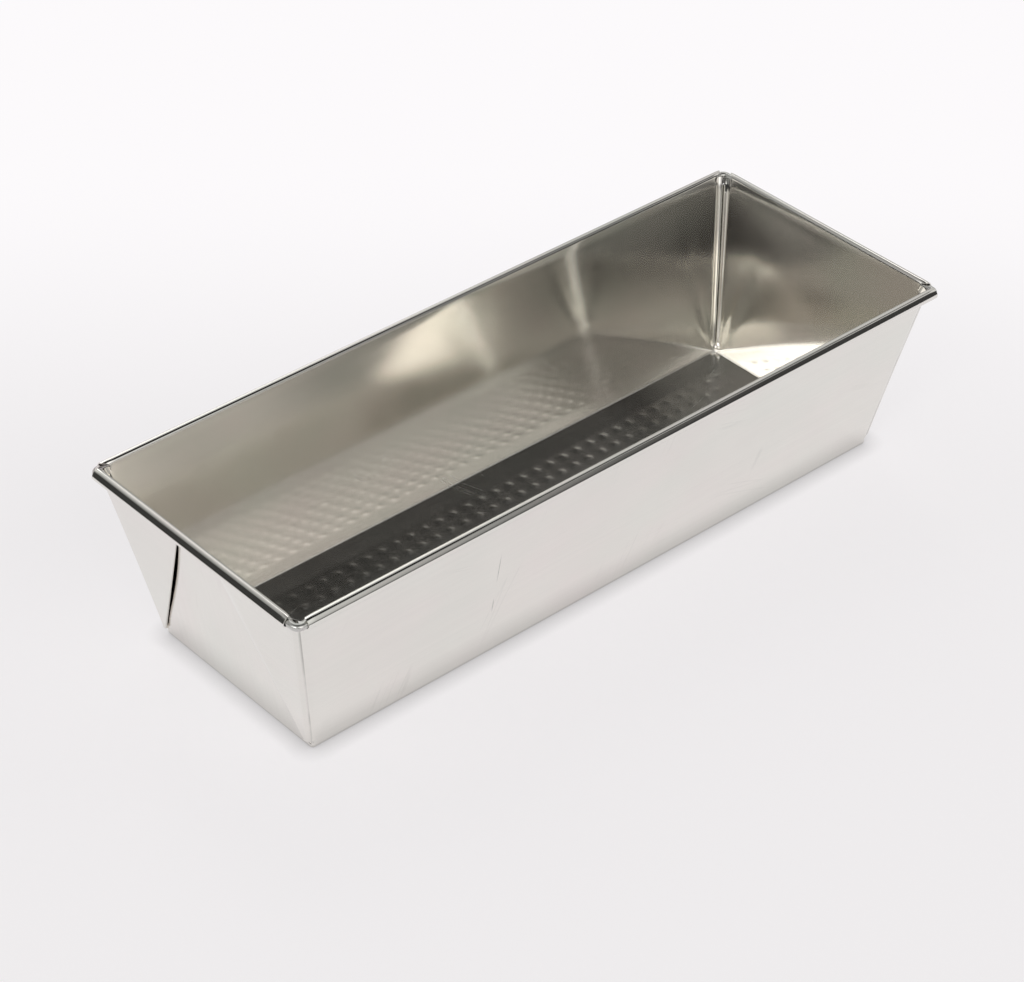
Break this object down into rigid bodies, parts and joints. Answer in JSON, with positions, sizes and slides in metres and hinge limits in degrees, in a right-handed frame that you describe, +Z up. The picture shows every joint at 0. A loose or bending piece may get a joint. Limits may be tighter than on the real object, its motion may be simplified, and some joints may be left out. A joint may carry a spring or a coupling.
{
  "type": "loaf pan",
  "caption": "Long flared loaf pan folded up from tinplate, with envelope-folded corners, an embossed base and a rim rolled over a steel wire.",
  "frame": {"origin": "middle of the pan's flat underside, on the surface that it stands on", "axes": "+X along the pan, +Y across it, +Z up out of its mouth"},
  "size_m": [0.308, 0.117, 0.0735],
  "materials": {
    "tinplate": "bright rolled tinplate, semi-mirror with fine rolling streaks",
    "wire_steel": "drawn steel wire, satin"
  },
  "bodies": {
    "root": {"folded_sheet": "tinplate", "rim_wire": "wire_steel"}
  },
  "joints": []
}
